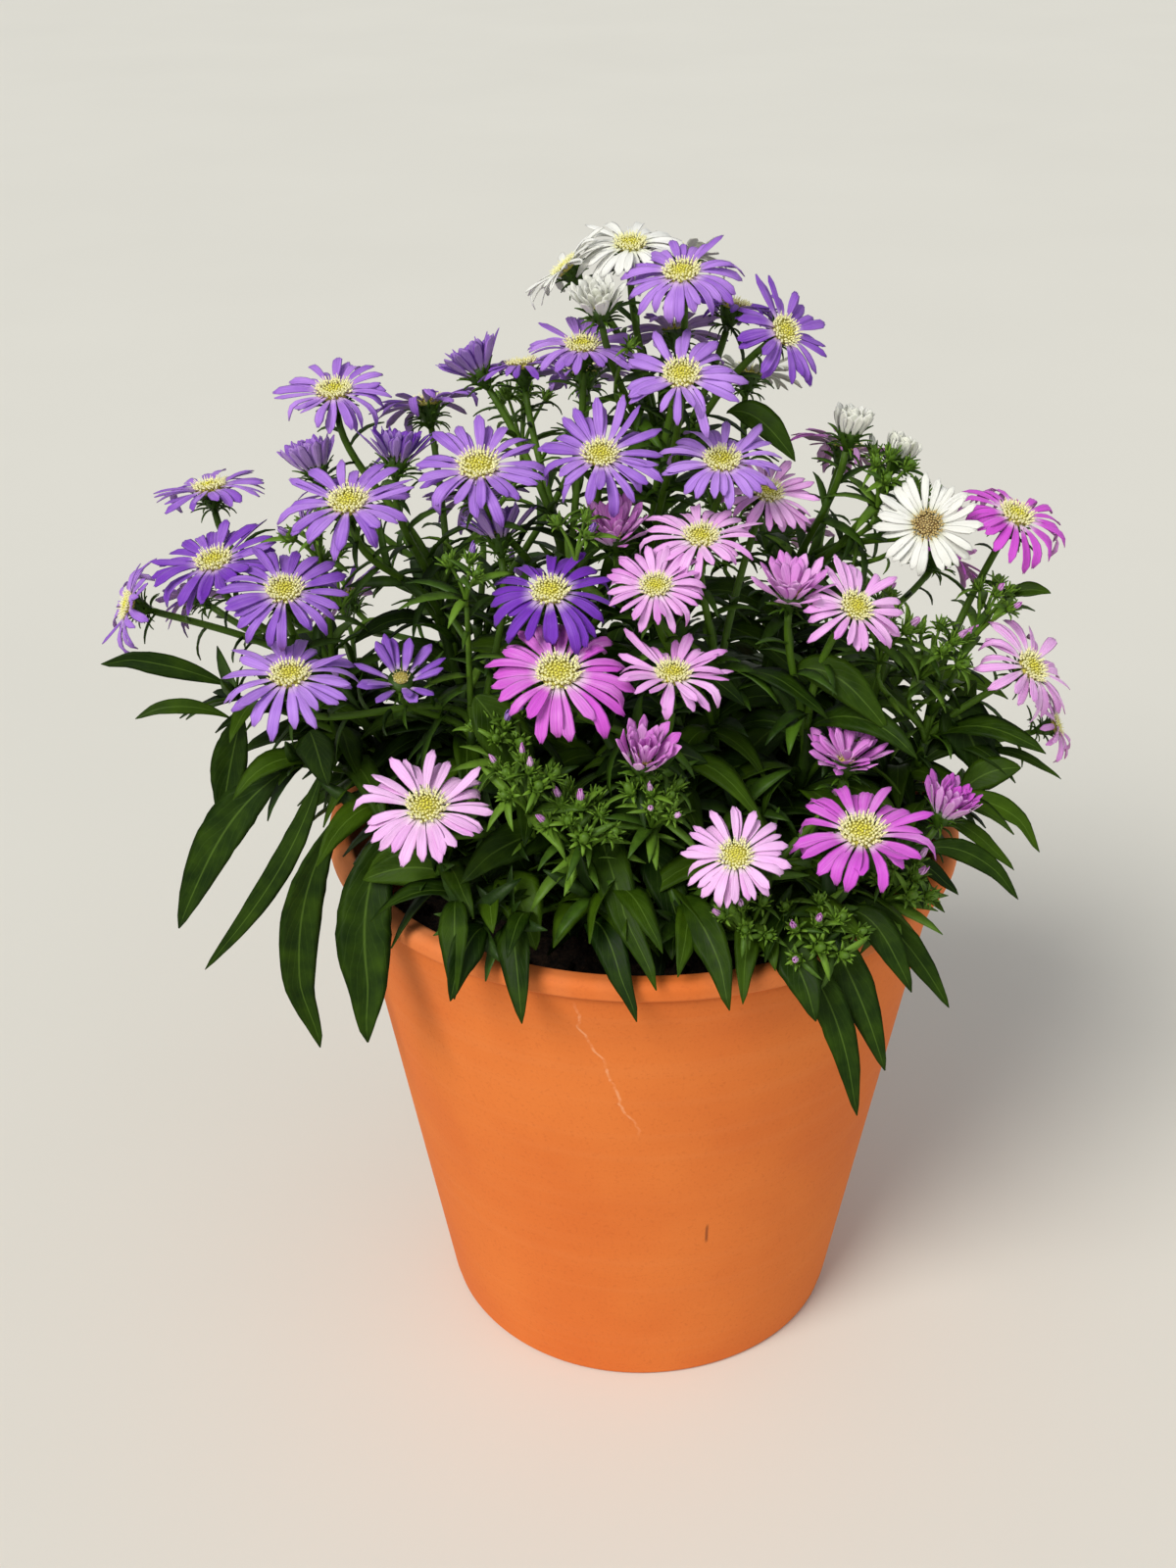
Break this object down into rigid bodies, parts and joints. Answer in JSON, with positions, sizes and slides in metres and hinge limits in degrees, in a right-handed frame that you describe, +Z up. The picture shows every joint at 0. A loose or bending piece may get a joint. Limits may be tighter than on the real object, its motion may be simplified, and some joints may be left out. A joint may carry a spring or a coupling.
{
  "type": "potted aster",
  "caption": "Bushy garden aster in flower, in violet, pink and white, planted in a plain tapered clay pot; a patio plant that stands on its flat base.",
  "frame": {"origin": "centre of the pot's underside, on the surface that the pot stands on", "axes": "+Z up along the pot's axis; -Y is the front, the side with the lowest flowers; +X is to the right seen from the front"},
  "size_m": [0.3031, 0.2236, 0.3779],
  "materials": {
    "terracotta": "matte",
    "soil": "rough",
    "leaves": "satin",
    "stems": "satin",
    "violet_petals": "satin",
    "pink_petals": "satin",
    "white_petals": "satin"
  },
  "bodies": {
    "root": {"pink_aster_stems": "stems", "pink_flower_g1": "pink_petals", "pink_flower_g2": "pink_petals", "pink_flower_g3": "pink_petals", "pink_flower_h1": "pink_petals", "pink_flower_h2": "pink_petals", "pink_flower_i1": "pink_petals", "pink_flower_j1": "pink_petals", "pink_flower_j2": "pink_petals", "pink_flower_j3": "pink_petals", "pink_flower_k1": "pink_petals", "pink_flower_k2": "pink_petals", "pink_flower_l1": "pink_petals", "pink_flower_m1": "pink_petals", "pink_flower_m2": "pink_petals", "pink_flower_m3": "pink_petals", "potting_soil": "soil", "rim_leaf_1": "leaves", "rim_leaf_2": "leaves", "rim_leaf_3": "leaves", "rim_leaf_4": "leaves", "rim_leaf_5": "leaves", "rim_leaf_6": "leaves", "rim_leaf_7": "leaves", "rim_leaf_8": "leaves", "rim_leaf_9": "leaves", "terracotta_pot": "terracotta", "violet_aster_stems": "stems", "violet_flower_a1": "violet_petals", "violet_flower_a2": "violet_petals", "violet_flower_a3": "violet_petals", "violet_flower_a4": "violet_petals", "violet_flower_a5": "violet_petals", "violet_flower_b1": "violet_petals", "violet_flower_b2": "violet_petals", "violet_flower_b3": "violet_petals", "violet_flower_b4": "violet_petals", "violet_flower_b5": "violet_petals", "violet_flower_c1": "violet_petals", "violet_flower_c2": "violet_petals", "violet_flower_c3": "violet_petals", "violet_flower_d1": "violet_petals", "violet_flower_d2": "violet_petals", "violet_flower_d3": "violet_petals", "violet_flower_d4": "violet_petals", "violet_flower_d5": "violet_petals", "violet_flower_e1": "violet_petals", "violet_flower_e2": "violet_petals", "violet_flower_f1": "violet_petals", "violet_flower_f2": "violet_petals", "violet_flower_f3": "violet_petals", "violet_flower_f4": "violet_petals", "white_aster_stems": "stems", "white_flower_n1": "white_petals", "white_flower_n2": "white_petals", "white_flower_n3": "white_petals", "white_flower_o1": "white_petals", "white_flower_o2": "white_petals", "white_flower_p1": "white_petals"}
  },
  "joints": []
}
